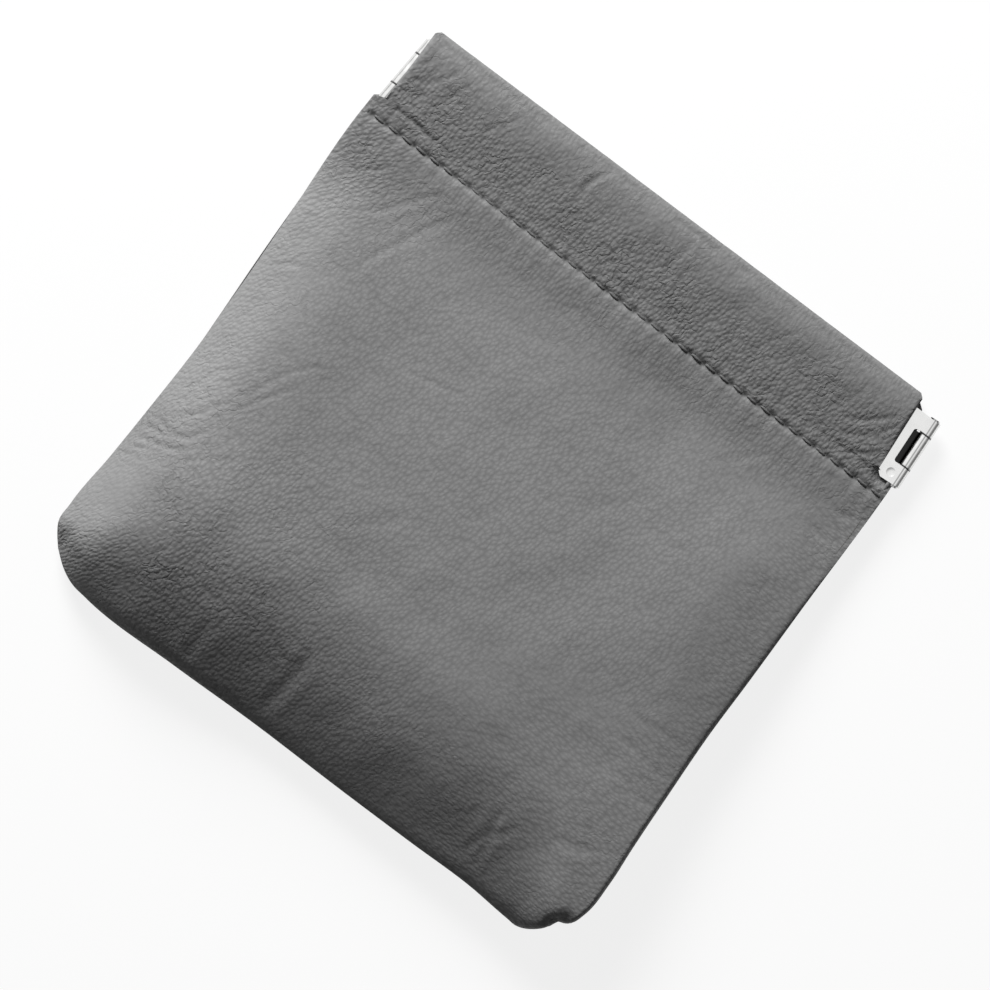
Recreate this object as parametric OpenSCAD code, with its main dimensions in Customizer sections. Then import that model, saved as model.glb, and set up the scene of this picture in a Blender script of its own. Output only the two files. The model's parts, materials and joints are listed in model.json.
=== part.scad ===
// Squeeze coin purse, lying on its back with the mouth shut.
// A turned leather bag hangs from two leather channels, and a hinged spring-steel strip lies
// in each channel. Squeezing the two hinges together bows the strips apart and opens the mouth.
// +X runs along the mouth, +Y from the bottom fold to the mouth, +Z out of the front face.
// The origin is the middle of the purse's outline, on the surface it lies on. Millimetres.

/* [Purse] */
// Height from the bottom fold to the folded top edge
purse_height = 90; // [86:0.5:100]
// Width at the widest place, low in the bag
base_width = 88.6; // [88:0.1:92]
// Width at the waist, half way down the bag
waist_width = 86.8; // [86.4:0.1:88]
// Width at the shoulders, under the hinges
shoulder_width = 87.6; // [87:0.1:90]
// Thickness of the bag where it is fullest
fullness = 10.5; // [9:0.5:14]

/* [Leather] */
// Thickness of the outer leather
leather = 0.8; // [0.7:0.05:0.9]
// Thickness of the thinned hem inside each channel
hem = 0.43; // [0.35:0.01:0.43]
// Distance from the folded top edge down to the stitch row
stitch_depth = 14.5; // [14:0.1:15]
// Distance from one stitch to the next
stitch_pitch = 2.33; // [2.2:0.01:2.4]
// Diameter of the sewing thread
thread_d = 0.34; // [0.25:0.01:0.4]

/* [Frame] */
// Distance between the two hinge pins
pin_span = 85.72; // [85:0.01:86.5]
// Width of a strip at its hinge ends
strip_width = 10.3; // [10:0.1:10.6]
// Thickness of a strip
gauge = 0.36; // [0.3:0.01:0.36]
// Diameter of a hinge pin
pin_d = 1; // [0.9:0.02:1]
// Lean of each hinge, with its top end inwards
hinge_lean = 3.5; // [0:0.5:4]

/* [Hidden] */
SEGMENTS = ["left_end", "left", "middle", "right", "right_end"];

LEATHER_GREY = "gray";
NICKEL = "silver";
THREAD_GREY = "dimgray";

// Clearances
floor_gap = 0.4;        // from the ground up to the back channel
play = 0.06;            // between a strip and the leather over it
hem_play = 0.05;        // between the two hems, each side of the middle of the mouth
run = 0.05;             // between a pin and the knuckle that turns on it
tuck = 0.015;           // from a strip's two faces to the faces of its knuckle's wall
strip_cut = 0.12;       // where a strip bends
leather_cut = 0.36;     // where a channel bends
panel_gap = 0.3;        // between the panels and between panel and channel
seam_clear = 0.3;       // between a turned seam and the bag's side
eps = 0.01;

// Levels above the middle plane of the mouth
leaf_low = pin_d / 2 + run + tuck;
knuckle_r = leaf_low + gauge + tuck;
outer_low = knuckle_r + play;
outer_high = outer_low + leather;
hem_low = hem_play;
hem_high = hem_low + hem;
fold_r = (outer_high - hem_low) / 2;
slot_r = (outer_low - hem_high) / 2;
mouth_z = floor_gap + outer_high;

// Places along the purse
top_y = purse_height / 2;
bottom_y = -top_y;
stitch_y = top_y - stitch_depth;
channel_low_y = stitch_y - 1.3;
hinge_y = top_y - 7.05;
fold_y = top_y - fold_r;
slot_y = hinge_y + strip_width / 2 + 0.35;

// Hinges: the fork has the two outer knuckles, the tongue has the middle one
pin_x = pin_span / 2;
half_w = strip_width / 2;
tongue_low = -2.25;
tongue_high = 2.8;
knuckle_gap = 0.05;
window_depth = 1.8;
window_corner_r = 0.35;
tongue_neck = 1.3;
head_length = 2.2;
head_chamfer = 0.7;
dent_r = 1.6;
dent_depth = 0.14;
dent_u = 1.25;
dent_v = -3.9;
pin_head_r = 0.72;
pin_head_h = 0.25;

// Channel: it starts close to the left hinge and leaves the right hinge plate bare
channel_left_x = -42.5;
channel_right_x = 39.8;
hem_left_x = -41.2;
hem_right_x = 39.2;
shoulder_x = shoulder_width / 2;
shoulder_y = top_y - 11.6;

// Stitches are counted from the middle of the row, and a strip bends between two of them
stitch_count_half = 18;
stitch_length = 1.75;
stitch_slant = 6;
thread_sink = 0.05;
bend_stitches = [5.5, 11.5];
row_lean = (hinge_y - stitch_y) * tan(hinge_lean);
bend_in_x = bend_stitches[0] * stitch_pitch - row_lean;
bend_out_x = bend_stitches[1] * stitch_pitch - row_lean;
far = 60;
BENDS = [-far, -bend_out_x, -bend_in_x, bend_in_x, bend_out_x, far];

// Bag
panel_top_y = channel_low_y - panel_gap;
crown_y = bottom_y + 14;
nose_z = 4.6;
back_nose_y = bottom_y + 6;
waist_y = -5;
base_y = bottom_y + 9;
corner_in = 7;
corner_up = 6.4;
side_low = [4, 3];
side_high = [12, 6];
seam_w = 3.3;
seam_end_y = bottom_y + 8;
seam_thread_count = 26;

// A point beside a hinge: u is inwards from the pin, v is up along it
function at_end(side, u, v) = [
    side * (pin_x - u * cos(hinge_lean) - v * sin(hinge_lean)),
    hinge_y - u * sin(hinge_lean) + v * cos(hinge_lean)
];

// Where the bend at x = b crosses the height y, leaning as the hinge on its side leans
function bend_x(b, y) = b - sign(b) * (y - hinge_y) * tan(hinge_lean);

function oval(centre, radii, from, to, steps) = [
    for (i = [0 : steps])
        let (a = from + (to - from) * i / steps)
            [centre[0] + radii[0] * cos(a), centre[1] + radii[1] * sin(a)]
];

module end_frame(side) {
    if (side > 0)
        translate([pin_x, hinge_y, 0]) rotate([0, 0, hinge_lean]) children();
    else
        mirror([1, 0, 0]) translate([pin_x, hinge_y, 0]) rotate([0, 0, hinge_lean]) children();
}

// A round bar along the hinge's axis, from v0 to v1
module along_pin(r, v0, v1) {
    translate([0, v0, 0]) rotate([-90, 0, 0]) cylinder(r = r, h = v1 - v0, $fn = 48);
}

// The space of one of the five segments between the bends
module segment_space(place, cut) {
    low = BENDS[place];
    high = BENDS[place + 1];
    translate([0, 0, -far]) linear_extrude(2 * far)
        polygon([
            [bend_x(low, -far) + cut / 2, -far],
            [bend_x(high, -far) - cut / 2, -far],
            [bend_x(high, far) - cut / 2, far],
            [bend_x(low, far) + cut / 2, far]
        ]);
}

module on_front() {
    translate([0, 0, mouth_z]) children();
}

module on_back() {
    translate([0, 0, mouth_z]) mirror([0, 0, 1]) children();
}

module turned_to_back() {
    translate([0, 0, mouth_z]) rotate([0, 180, 0]) children();
}

module leaf() {
    translate([0, 0, leaf_low]) linear_extrude(gauge)
        polygon([
            at_end(-1, 0, tongue_low),
            at_end(-1, tongue_neck, tongue_low),
            at_end(-1, tongue_neck, -half_w),
            at_end(-1, head_length, -half_w),
            at_end(-1, head_length + head_chamfer, head_chamfer - half_w),
            at_end(1, head_length + head_chamfer, head_chamfer - half_w),
            at_end(1, head_length, -half_w),
            at_end(1, 0, -half_w),
            at_end(1, 0, half_w),
            at_end(-1, tongue_neck, half_w),
            at_end(-1, tongue_neck, tongue_high),
            at_end(-1, 0, tongue_high)
        ]);
}

module window() {
    low = tongue_low - 2 * knuckle_gap;
    high = tongue_high + 2 * knuckle_gap;
    r = window_corner_r;
    translate([-window_depth, low + r, 0]) cube([2 * window_depth, high - low - 2 * r, 2]);
    translate([r - window_depth, low, 0]) cube([2 * window_depth, high - low, 2]);
    for (v = [low + r, high - r])
        translate([r - window_depth, v, 0]) cylinder(r = r, h = 2, $fn = 24);
}

// One strip with its tongue at -X and its fork at +X. The other strip is its twin, turned round.
module strip() {
    difference() {
        union() {
            difference() {
                leaf();
                end_frame(1) window();
                end_frame(1)
                    translate([-dent_u, dent_v, leaf_low + gauge + dent_r - dent_depth])
                        sphere(r = dent_r, $fn = 48);
            }
            end_frame(-1) along_pin(knuckle_r, tongue_low, tongue_high);
            end_frame(1) along_pin(knuckle_r, -half_w, tongue_low - knuckle_gap);
            end_frame(1) along_pin(knuckle_r, tongue_high + knuckle_gap, half_w);
        }
        end_frame(-1) along_pin(pin_d / 2 + run, -half_w - 1, half_w + 1);
        end_frame(1) along_pin(pin_d / 2, -half_w - 1, half_w + 1);
    }
}

module hinge_pin(side) {
    color(NICKEL) on_front() end_frame(side) {
        along_pin(pin_d / 2, -half_w - pin_head_h, half_w + pin_head_h);
        along_pin(pin_head_r, -half_w - pin_head_h, -half_w);
        along_pin(pin_head_r, half_w, half_w + pin_head_h);
    }
}

// The leather over a strip: outer layer, folded top edge and hem
module channel() {
    slot = outer_low - hem_high;
    translate([0, 0, outer_low]) linear_extrude(leather)
        polygon([
            [channel_left_x, fold_y],
            [channel_left_x, shoulder_y],
            [-shoulder_x, shoulder_y - 0.9],
            [-shoulder_x, channel_low_y],
            [shoulder_x, channel_low_y],
            [shoulder_x, shoulder_y - 1.1],
            [channel_right_x + 0.8, shoulder_y],
            [channel_right_x, fold_y]
        ]);
    translate([hem_left_x, channel_low_y, hem_low])
        cube([hem_right_x - hem_left_x, slot_y - channel_low_y, hem]);
    length = channel_right_x - channel_left_x;
    difference() {
        union() {
            translate([channel_left_x, fold_y, hem_low + fold_r])
                rotate([0, 90, 0]) cylinder(r = fold_r, h = length, $fn = 48);
            translate([channel_left_x, slot_y - eps, hem_low])
                cube([length, fold_y - slot_y + eps, 2 * fold_r]);
        }
        translate([channel_left_x - 1, slot_y - 5, hem_high]) cube([length + 2, 5, slot]);
        translate([channel_left_x - 1, slot_y, hem_high + slot_r])
            rotate([0, 90, 0]) cylinder(r = slot_r, h = length + 2, $fn = 32);
        translate([channel_left_x - 1, slot_y - 5, hem_low - 1])
            cube([length + 2, 5, 2 * fold_r + 2]);
    }
}

function first_stitch(place) =
    [-stitch_count_half, -bend_stitches[1], -bend_stitches[0], bend_stitches[0], bend_stitches[1]][place];
function last_stitch(place) =
    [-bend_stitches[1], -bend_stitches[0], bend_stitches[0], bend_stitches[1], stitch_count_half][place];

module stitches(place) {
    for (k = [ceil(first_stitch(place)) : floor(last_stitch(place))])
        translate([k * stitch_pitch, stitch_y, outer_high + thread_d / 2 - thread_sink])
            rotate([0, 90, -stitch_slant])
                cylinder(d = thread_d, h = stitch_length, center = true, $fn = 16);
}

// Outlines of the bag, each drawn smaller by the inset for its inside
module side_outline(inset) {
    mouth_y = inset > 0 ? panel_top_y + 1 : panel_top_y;
    front_z = mouth_z + outer_high;
    run_up = panel_top_y - crown_y;
    polygon(concat(
        [[mouth_y, inset]],
        oval([back_nose_y, nose_z], [back_nose_y - bottom_y - inset, nose_z - inset], 270, 180, 6),
        oval([crown_y, nose_z], [crown_y - bottom_y - inset, fullness - nose_z - inset], 180, 90, 8),
        [
            for (i = [1 : 8])
                [crown_y + run_up * i / 8, front_z - inset + (fullness - front_z) * cos(90 * i / 8)]
        ],
        [[mouth_y, front_z - inset]]
    ));
}

module end_outline(inset) {
    x = base_width / 2;
    low = side_low - [inset, inset];
    high = side_high - [inset, inset];
    polygon(concat(
        oval([side_low[0] - x, side_low[1]], low, 180, 270, 5),
        oval([x - side_low[0], side_low[1]], low, 270, 360, 5),
        oval([x - side_high[0], fullness - side_high[1]], high, 0, 90, 7),
        oval([side_high[0] - x, fullness - side_high[1]], high, 90, 180, 7)
    ));
}

module face_outline(inset) {
    mouth_y = inset > 0 ? panel_top_y + 1 : panel_top_y;
    half = [
        [shoulder_x - inset, mouth_y],
        [waist_width / 2 - inset, waist_y],
        [base_width / 2 - inset, base_y],
        [base_width / 2 - inset, bottom_y + corner_up],
        [base_width / 2 - corner_in, bottom_y + inset]
    ];
    polygon(concat(half, [for (i = [len(half) - 1 : -1 : 0]) [-half[i][0], half[i][1]]]));
}

module bag_space(inset) {
    intersection() {
        rotate([90, 0, 90]) translate([0, 0, -far]) linear_extrude(2 * far) side_outline(inset);
        rotate([90, 0, 0]) translate([0, 0, -far]) linear_extrude(2 * far) end_outline(inset);
        translate([0, 0, -1]) linear_extrude(fullness + 2) face_outline(inset);
    }
}

module bag_wall() {
    difference() {
        bag_space(0);
        bag_space(leather);
    }
}

module half_space(low, high) {
    translate([-far, -far, low]) cube([2 * far, 2 * far, high - low]);
}

module front_panel() {
    color(LEATHER_GREY) intersection() {
        bag_wall();
        half_space(mouth_z + panel_gap / 2, fullness + 1);
    }
}

module back_panel() {
    color(LEATHER_GREY) intersection() {
        bag_wall();
        half_space(-1, mouth_z - panel_gap / 2);
    }
}

// The two edges of leather sewn together and turned to the inside of the bag
module side_seam(side) {
    outer_x = waist_width / 2 - leather - seam_clear;
    length = panel_top_y - seam_end_y;
    layer = leather - hem_play / 2;
    color(LEATHER_GREY)
        for (z = [mouth_z - leather, mouth_z + hem_play / 2])
            translate([side > 0 ? outer_x - seam_w : -outer_x, seam_end_y, z])
                cube([seam_w, length, layer]);
}

module seam_thread(side) {
    x = side * (waist_width / 2 - leather - seam_clear - 0.7);
    z = mouth_z + leather + thread_d / 2 - thread_sink;
    color(THREAD_GREY)
        for (k = [0 : seam_thread_count - 1])
            translate([x, seam_end_y + 2 + k * stitch_pitch, z])
                rotate([90, 0, 0])
                    cylinder(d = thread_d, h = stitch_length, center = true, $fn = 16);
}

module front_strip(place) {
    color(NICKEL) intersection() {
        on_front() strip();
        segment_space(place, strip_cut);
    }
}

module back_strip(place) {
    color(NICKEL) intersection() {
        turned_to_back() strip();
        segment_space(place, strip_cut);
    }
}

module front_channel(place) {
    color(LEATHER_GREY) intersection() {
        on_front() channel();
        segment_space(place, leather_cut);
    }
}

module back_channel(place) {
    color(LEATHER_GREY) intersection() {
        on_back() channel();
        segment_space(place, leather_cut);
    }
}

module front_stitching(place) {
    color(THREAD_GREY) on_front() stitches(place);
}

module back_stitching(place) {
    color(THREAD_GREY) on_back() stitches(place);
}

for (place = [0 : len(SEGMENTS) - 1]) {
    front_strip(place);
    back_strip(place);
    front_channel(place);
    back_channel(place);
    front_stitching(place);
    back_stitching(place);
}
hinge_pin(-1);  // left_hinge_pin
hinge_pin(1);  // right_hinge_pin
front_panel();
back_panel();
side_seam(-1);  // left_side_seam
side_seam(1);  // right_side_seam
seam_thread(-1);  // left_seam_thread
seam_thread(1);  // right_seam_thread
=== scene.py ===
import json
import math

import bpy
import numpy as np
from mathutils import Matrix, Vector, noise

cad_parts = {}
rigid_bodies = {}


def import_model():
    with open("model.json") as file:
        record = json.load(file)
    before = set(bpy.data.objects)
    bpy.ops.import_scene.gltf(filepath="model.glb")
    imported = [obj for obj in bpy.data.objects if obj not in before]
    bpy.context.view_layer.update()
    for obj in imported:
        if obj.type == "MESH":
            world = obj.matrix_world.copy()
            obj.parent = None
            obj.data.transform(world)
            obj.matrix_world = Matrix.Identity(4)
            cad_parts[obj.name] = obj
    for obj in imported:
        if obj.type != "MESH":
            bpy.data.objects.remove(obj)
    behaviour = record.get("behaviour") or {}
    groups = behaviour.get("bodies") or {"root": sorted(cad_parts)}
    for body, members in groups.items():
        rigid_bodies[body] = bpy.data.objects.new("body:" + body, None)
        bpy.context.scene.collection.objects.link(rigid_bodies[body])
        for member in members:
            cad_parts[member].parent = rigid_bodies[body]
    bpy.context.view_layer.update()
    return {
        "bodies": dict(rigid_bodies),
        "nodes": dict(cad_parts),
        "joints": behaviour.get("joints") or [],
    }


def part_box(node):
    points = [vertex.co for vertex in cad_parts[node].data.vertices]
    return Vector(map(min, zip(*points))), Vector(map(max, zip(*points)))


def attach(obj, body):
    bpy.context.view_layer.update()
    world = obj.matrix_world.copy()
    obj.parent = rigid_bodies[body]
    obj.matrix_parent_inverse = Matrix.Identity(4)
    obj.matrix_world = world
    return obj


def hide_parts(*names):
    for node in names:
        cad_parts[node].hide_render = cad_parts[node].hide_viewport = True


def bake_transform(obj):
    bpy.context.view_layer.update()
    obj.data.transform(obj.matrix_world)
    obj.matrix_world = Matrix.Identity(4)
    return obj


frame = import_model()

mm = 0.001


# small helpers
def hexColour(text):
    # sRGB hex to the linear values that the shader wants
    parts = [int(text[i:i + 2], 16) / 255 for i in (1, 3, 5)]
    return (*[c / 12.92 if c <= 0.04045 else ((c + 0.055) / 1.055) ** 2.4 for c in parts], 1.0)


def addNode(tree, kind, links=None, **settings):
    # kind is a shader node's unless it says otherwise. Settings go on the node, and links on its sockets:
    # another node's first output, a socket or a plain value
    node = tree.nodes.new(kind if "Node" in kind else "ShaderNode" + kind)
    for name, value in settings.items():
        setattr(node, name, value)
    for socket, value in (links or {}).items():
        if isinstance(value, bpy.types.Node):
            value = value.outputs[0]
        if isinstance(value, bpy.types.NodeSocket):
            tree.links.new(value, node.inputs[socket])
        else:
            node.inputs[socket].default_value = value
    return node


def newMaterial(name):
    material = bpy.data.materials.new(name)
    material.use_nodes = True
    material.node_tree.nodes.clear()
    return material, material.node_tree


def smoothStep(low, high, value):
    # from 0 at low to 1 at high. Where low is the larger one, it falls instead
    t = np.clip((value - low) / (high - low), 0, 1)
    return t * t * (3 - 2 * t)


def smoothCurve(points):
    # a smooth line through points given as (place, value)
    at, value = (np.array(c, float) for c in zip(*points))
    slope = np.gradient(value, at)

    def curve(x):
        x = np.clip(x, at[0], at[-1])
        k = np.clip(np.searchsorted(at, x) - 1, 0, len(at) - 2)
        gap = at[k + 1] - at[k]
        t = (x - at[k]) / gap
        start = (1 + 2 * t) * (1 - t) ** 2 * value[k] + t * (1 - t) ** 2 * gap * slope[k]
        return start + t * t * (3 - 2 * t) * value[k + 1] - t * t * (1 - t) * gap * slope[k + 1]
    return curve


def spread(low, high, step):
    return np.linspace(low, high, max(2, round(abs(high - low) / step) + 1))


def noiseAt(points, size, octaves=2):
    # soft noise from -1 to 1 whose features are about this many millimetres wide
    return np.array([noise.fractal(Vector(p) / size, 1.0, 2.0, octaves) for p in points])


def spots(x, y, places):
    # one soft round patch for each place: amount, middle x and y, half width, half height
    return [amount * np.exp(-((x - midX) / wide) ** 2 - ((y - midY) / high) ** 2)
            for amount, midX, midY, wide, high in places]


# what the frame says, in millimetres
def boxOf(node):
    return [np.array(corner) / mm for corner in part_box(node)]


frontChannel, backChannel = boxOf("front_channel_middle"), boxOf("back_channel_middle")
frontPanel, backPanel = boxOf("front_panel"), boxOf("back_panel")
stitchBox = boxOf("front_stitching_middle")
mouthZ = (frontChannel[0][2] + backChannel[1][2]) / 2
topY = frontChannel[1][1]
hemY = frontChannel[0][1]
stitchY = (stitchBox[0][1] + stitchBox[1][1]) / 2
hinges = {j["name"]: j for j in frame["joints"]}
hingeX = -hinges["mouth_opening"]["pos_m"][0] / mm
hingeY = hinges["mouth_opening"]["pos_m"][1] / mm
lean = math.atan2(*hinges["front_left_bend"]["axis"][:2])
bendIn = hinges["front_right_bend"]["pos_m"][0] / mm
bendOut = hinges["front_right_end_bend"]["pos_m"][0] / mm
print("frame read: mouth plane at", round(mouthZ, 2), "mm, pins at", round(hingeX, 2), "mm")


# leather sheets: one for the front with its folded channel and hem, one for the back
leather = {
    "thickness": 0.8,
    "hemThickness": 0.43,
    "seamThickness": 0.4,    # of each sewn edge, pressed flat inside the bag
    "spacing": 0.4,          # between mesh points over the face
    "leftSide": [(-41.9, -41.9), (-40.6, -43.0), (-39.2, -43.95), (-36, -44.2), (-27.5, -43.7), (-19, -43.4),
                 (-8.7, -43.2), (-0.6, -43.4), (13, -44.0), (29, -44.7), (32.6, -44.6)],
    "rightSide": [(-41.9, 42.3), (-40.2, 43.85), (-38.3, 44.5), (-33, 44.7), (-27.5, 44.3), (-19, 43.85),
                  (-8.7, 43.4), (-0.6, 43.4), (13, 43.3), (29, 43.25), (32.6, 43.15)],
    "bottomEdge": [(-41.9, -41.9), (-39.8, -43.5), (-37.7, -44.5), (-34.8, -44.95), (-20, -45.0), (-6, -44.8),
                   (8, -44.9), (20, -44.85), (30, -44.75), (36.5, -45.2), (38.2, -45.25), (40.8, -43.7),
                   (42.3, -41.9)],
    "cornerY": -41.9,
    # share of the full height that the front face has at each y, falling evenly to the stitches
    "frontSwell": [(-45, 1.0), (-28, 1.0), (-24, 0.98), (-19, 0.91), (12, 0.26), (25, -0.02), (hemY, 0.0),
                   (45, -0.18)],
    # the roll-over along the bottom at each x: its width, and how much of it is the wide soft slope
    "rollWidth": [(-44, 4.0), (-41, 6.0), (-38, 9.5), (-34, 14.5), (-28, 18.0), (-20, 19.5), (-10, 22.0),
                  (2, 22.0), (16, 21.0), (28, 20.5), (34, 17.5), (38, 11.5), (41, 4.8), (44, 3.4)],
    "rollSoftness": [(-44, 0.88), (-36, 0.86), (-28, 0.78), (-20, 0.78), (-10, 0.88), (28, 0.88), (34, 0.85),
                     (38, 0.78), (41, 0.5), (44, 0.45)],
    "seamFold": 0.9,         # radius of the turned edge at the side seams
    # height of the bottom fold's outermost line, from the left seam (0) to the right one (1)
    "noseZ": [(0, 2.0), (0.08, 2.9), (0.18, 3.9), (0.28, 3.8), (0.4, 3.2), (0.5, 3.3), (0.75, 4.1), (1, 4.6)],
    "leftDip": 0.6,          # how far the left seam sinks at half height
    "shoulderY": 33.3,       # where the side seams end and the channel's open ends begin
    "channelLeft": -42.85,   # cut end of the channel at the left
    "plateShown": 2.62,      # how far its right end stops short of the hinge's middle, at plateFoot
    "plateFoot": 33,
    "plateLean": 1.37,       # times the hinge's lean
    "plateTop": (43.1, 43.8),            # where the back leather stops showing under the right plate
    # the back sheet shows past the front: by how much, at which y, how far up and down
    "shownAtWaist": (0.3, 4, 14),
    "shownLowRight": (0.1, -14, 9),
    "shownUnderPlate": 1.2,
    "channelTop": 1.95,      # height of the channel's outer face over the mouth plane
    "channelRise": [(30.0, 0.98), (31.2, 1.06), (34, 1.5), (38, 2.06), (41, 2.36), (42.8, 2.28),
                    (44.1, 1.95)],
    "channelEnds": 1.2,      # height of its cut ends over the mouth plane
    "cutRoll": 0.36,         # how round they are
    "underPlate": 0.42,      # height of the front under the right hinge plate, over the mouth plane
    "foldInset": 0.6,        # how far both ends of the top fold are rounded off
    "hemLift": 0.05,         # of the hem over the mouth plane
    "pitch": 2.33,
    "stitches": 18,          # on each side of the middle one
    "grooveDepth": 0.15,     # of the pulled-down stitch line
    "holeDepth": 0.16,
    "holeWidth": 0.36,
    "puckerHeight": 0.06,
    "puckerReach": (2.2, 1.3),           # below and above the stitches
    "swellHeight": 0.05,     # of the two low ridges beside the stitch line
    # unevenness of the leather: width and height
    "broadFolds": (17, 0.32),
    "softWrinkles": (4.2, 0.07),
    "channelWrinkles": (1.5, 0.05),
    # broad bumps and dents of the front face: height, middle x and y, half width, half height
    "bumps": [(0.4, -31, -29, 9, 8), (0.4, 33, 4, 8, 15), (0.6, -31, 3, 7, 15), (-0.45, 31, -20, 7, 9)],
    "bumpUnderStitches": (0.25, -20, 28, 20, 7),
    "tuck": (42.1, -41.7, 1.1, 0.9),     # at the right end of the bottom fold
    "tuckPush": (-0.1, 0.3, -1.2),
}


def seamHeight(y, toRight):
    # the side seams rise from the mouth plane to the middle of the bottom fold, more so on the right.
    # toRight is 0 at the left seam and 1 at the right one
    nose = smoothCurve(leather["noseZ"])(toRight)
    dip = leather["leftDip"] * (1 - toRight) * np.exp(-(y / 24) ** 2)
    rise = smoothStep(24 + 6 * toRight, leather["cornerY"] - 2 + 34 * toRight, y)
    return mouthZ - dip + (nose - mouthZ) * rise


def pastShoulder(y):
    return smoothStep(leather["shoulderY"] - 0.45, leather["shoulderY"] + 0.1, y)


def sideEdges(y):
    # the panel's sides, and past the shoulder the channel's cut ends
    left = smoothCurve(leather["leftSide"])(y)
    right = smoothCurve(leather["rightSide"])(y)
    slope = math.tan(lean) * leather["plateLean"]
    plateEdge = hingeX - leather["plateShown"] - (y - leather["plateFoot"]) * slope
    past = pastShoulder(y)
    return left + (leather["channelLeft"] - left) * past, right + (plateEdge - right) * past


def backEdges(y):
    # the back sheet shows past the front at the waist, low on the right and under the right plate
    left, right = sideEdges(y)
    waist, low = [shown * np.exp(-((y - middle) / reach) ** 2)
                  for shown, middle, reach in (leather["shownAtWaist"], leather["shownLowRight"])]
    tucked = 0.5 * smoothStep(leather["cornerY"] + 8, leather["cornerY"], y)
    underPlate = leather["shownUnderPlate"] * pastShoulder(y) * (1 - smoothStep(*leather["plateTop"], y))
    return left - waist + tucked, right + low - tucked + underPlate


def quarter(t):
    t = np.clip(t, 0, 1)
    return np.sqrt(1 - (1 - t) ** 2)


def rollOver(away, wide, narrow, soft):
    # from an edge up to the face: a wide soft slope and a narrow round edge, shared by soft
    slope = 1 - (1 - np.clip(away / wide, 0, 1)) ** 2
    return soft * slope + (1 - soft) * quarter(away / narrow)


def sheetRows():
    # (nominal y, angle round the top fold): outer face, fold, hem
    c, step = leather["cornerY"], leather["spacing"]
    rollRows = c + 0.02 * np.arange(10) ** 2
    foldY = topY - foldRadius()
    stops = [(rollRows[-1] + step, 29.3, step), (29.5, 31.6, 0.2), (31.9, 32.5, 0.3), (32.65, 33.75, 0.16),
             (34.1, foldY - 0.4, step)]
    outer = np.concatenate([rollRows, *[spread(*s) for s in stops], [foldY]])
    turn = np.linspace(0, math.pi, 13)[1:]
    hem = spread(foldY - 0.7, hemY, 0.62)
    y = np.concatenate([outer, np.full(len(turn), foldY), hem])
    angle = np.concatenate([np.zeros(len(outer)), turn, np.full(len(hem), math.pi)])
    return y, angle


def foldRadius():
    return (leather["channelTop"] - leather["hemLift"]) / 2


def sheetColumns():
    # (share of the width, angle of the turned edge): turned edge, face, turned edge
    ease = 0.022 * np.arange(10) ** 2
    inner = spread(ease[-1] + 0.4, 88 - ease[-1] - 0.4, leather["spacing"])
    share = np.concatenate([ease, inner, 88 - ease[::-1]]) / 88
    turn = np.linspace(math.pi / 2, 0, 6)[:-1]
    none = np.zeros(len(turn))
    return np.concatenate([none, share, none + 1]), np.concatenate([turn, share * 0, -turn[::-1]])


def channelProfile(y, side):
    # height of the outer face over the mouth plane, from the stitch row up to the top fold.
    # the back one is pressed flat by what it lies on
    rise = smoothCurve(leather["channelRise"])(y)
    return rise if side > 0 else np.minimum(rise, leather["channelTop"])


def creaseDepth(x, y, creases):
    # each crease is (points, depth, width): a soft valley with a low ridge beside it
    total = np.zeros(x.shape)
    wobble = noiseAt(np.stack([x.ravel(), y.ravel(), x.ravel() * 0], 1), 2.6).reshape(x.shape)
    for points, depth, width in creases:
        points = np.array(points, float)
        nearest, along = np.full(x.shape, 1e9), np.zeros(x.shape)
        lengths = np.hypot(*np.diff(points, axis=0).T)
        reach = np.concatenate([[0], np.cumsum(lengths)])
        for k, (a, b) in enumerate(zip(points, points[1:])):
            t = np.clip(((x - a[0]) * (b - a)[0] + (y - a[1]) * (b - a)[1]) / lengths[k] ** 2, 0, 1)
            away = np.hypot(x - a[0] - t * (b - a)[0], y - a[1] - t * (b - a)[1])
            along = np.where(away < nearest, reach[k] + t * lengths[k], along)
            nearest = np.minimum(nearest, away)
        ends = smoothStep(0, 0.3, along / reach[-1]) * smoothStep(0, 0.3, 1 - along / reach[-1])
        across = (nearest + 0.35 * width * wobble) / width
        total += depth * ends * (0.35 * np.exp(-((across - 1.6) ** 2)) - np.exp(-across ** 2))
    return total


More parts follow.
